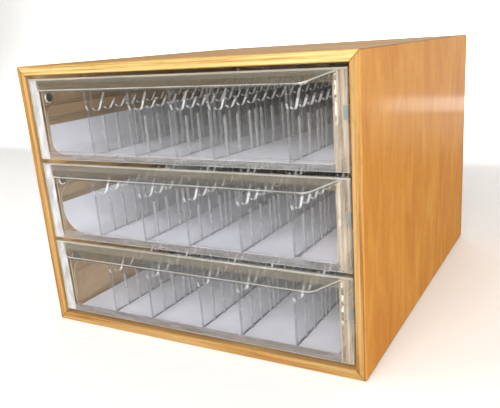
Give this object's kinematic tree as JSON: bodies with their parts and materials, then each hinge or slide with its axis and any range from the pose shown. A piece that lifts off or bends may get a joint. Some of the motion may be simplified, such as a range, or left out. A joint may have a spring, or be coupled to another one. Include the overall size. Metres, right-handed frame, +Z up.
{
  "type": "thread drawer cabinet",
  "caption": "Small mitred wooden cabinet with clear drawers on side runners, each with a pull lip and loose scalloped dividers for embroidery thread.",
  "frame": {"origin": "centre of the case's underside, on the surface that it stands on", "axes": "+X to the right seen from the front, +Y from the drawer fronts to the back, +Z up"},
  "size_m": [0.32, 0.3804, 0.245],
  "materials": {
    "case_wood": "satin lacquer",
    "back_board": "matt lacquer",
    "runner_wood": "matt",
    "clear_plastic": "clear moulded polystyrene",
    "divider_plastic": "clear moulded polystyrene",
    "paper": "uncoated paper"
  },
  "bodies": {
    "case": {"back_panel": "back_board", "bottom_left_runner": "runner_wood", "bottom_panel": "case_wood", "bottom_right_runner": "runner_wood", "left_side_panel": "case_wood", "middle_left_runner": "runner_wood", "middle_right_runner": "runner_wood", "right_side_panel": "case_wood", "top_left_runner": "runner_wood", "top_panel": "case_wood", "top_right_runner": "runner_wood"},
    "bottom_drawer": {"bottom_drawer_divider_1": "divider_plastic", "bottom_drawer_divider_2": "divider_plastic", "bottom_drawer_divider_3": "divider_plastic", "bottom_drawer_divider_4": "divider_plastic", "bottom_drawer_divider_5": "divider_plastic", "bottom_drawer_front": "clear_plastic", "bottom_drawer_liner": "paper", "bottom_drawer_tray": "clear_plastic"},
    "middle_drawer": {"middle_drawer_divider_1": "divider_plastic", "middle_drawer_divider_2": "divider_plastic", "middle_drawer_divider_3": "divider_plastic", "middle_drawer_divider_4": "divider_plastic", "middle_drawer_divider_5": "divider_plastic", "middle_drawer_front": "clear_plastic", "middle_drawer_liner": "paper", "middle_drawer_tray": "clear_plastic"},
    "top_drawer": {"top_drawer_divider_1": "divider_plastic", "top_drawer_divider_2": "divider_plastic", "top_drawer_divider_3": "divider_plastic", "top_drawer_divider_4": "divider_plastic", "top_drawer_divider_5": "divider_plastic", "top_drawer_front": "clear_plastic", "top_drawer_liner": "paper", "top_drawer_tray": "clear_plastic"}
  },
  "joints": [
    {"name": "bottom_drawer_slide", "type": "slide", "parent": "case", "child": "bottom_drawer", "axis": [0, -1, 0], "range_m": [0, 0.3]},
    {"name": "middle_drawer_slide", "type": "slide", "parent": "case", "child": "middle_drawer", "axis": [0, -1, 0], "range_m": [0, 0.3]},
    {"name": "top_drawer_slide", "type": "slide", "parent": "case", "child": "top_drawer", "axis": [0, -1, 0], "range_m": [0, 0.3]}
  ]
}
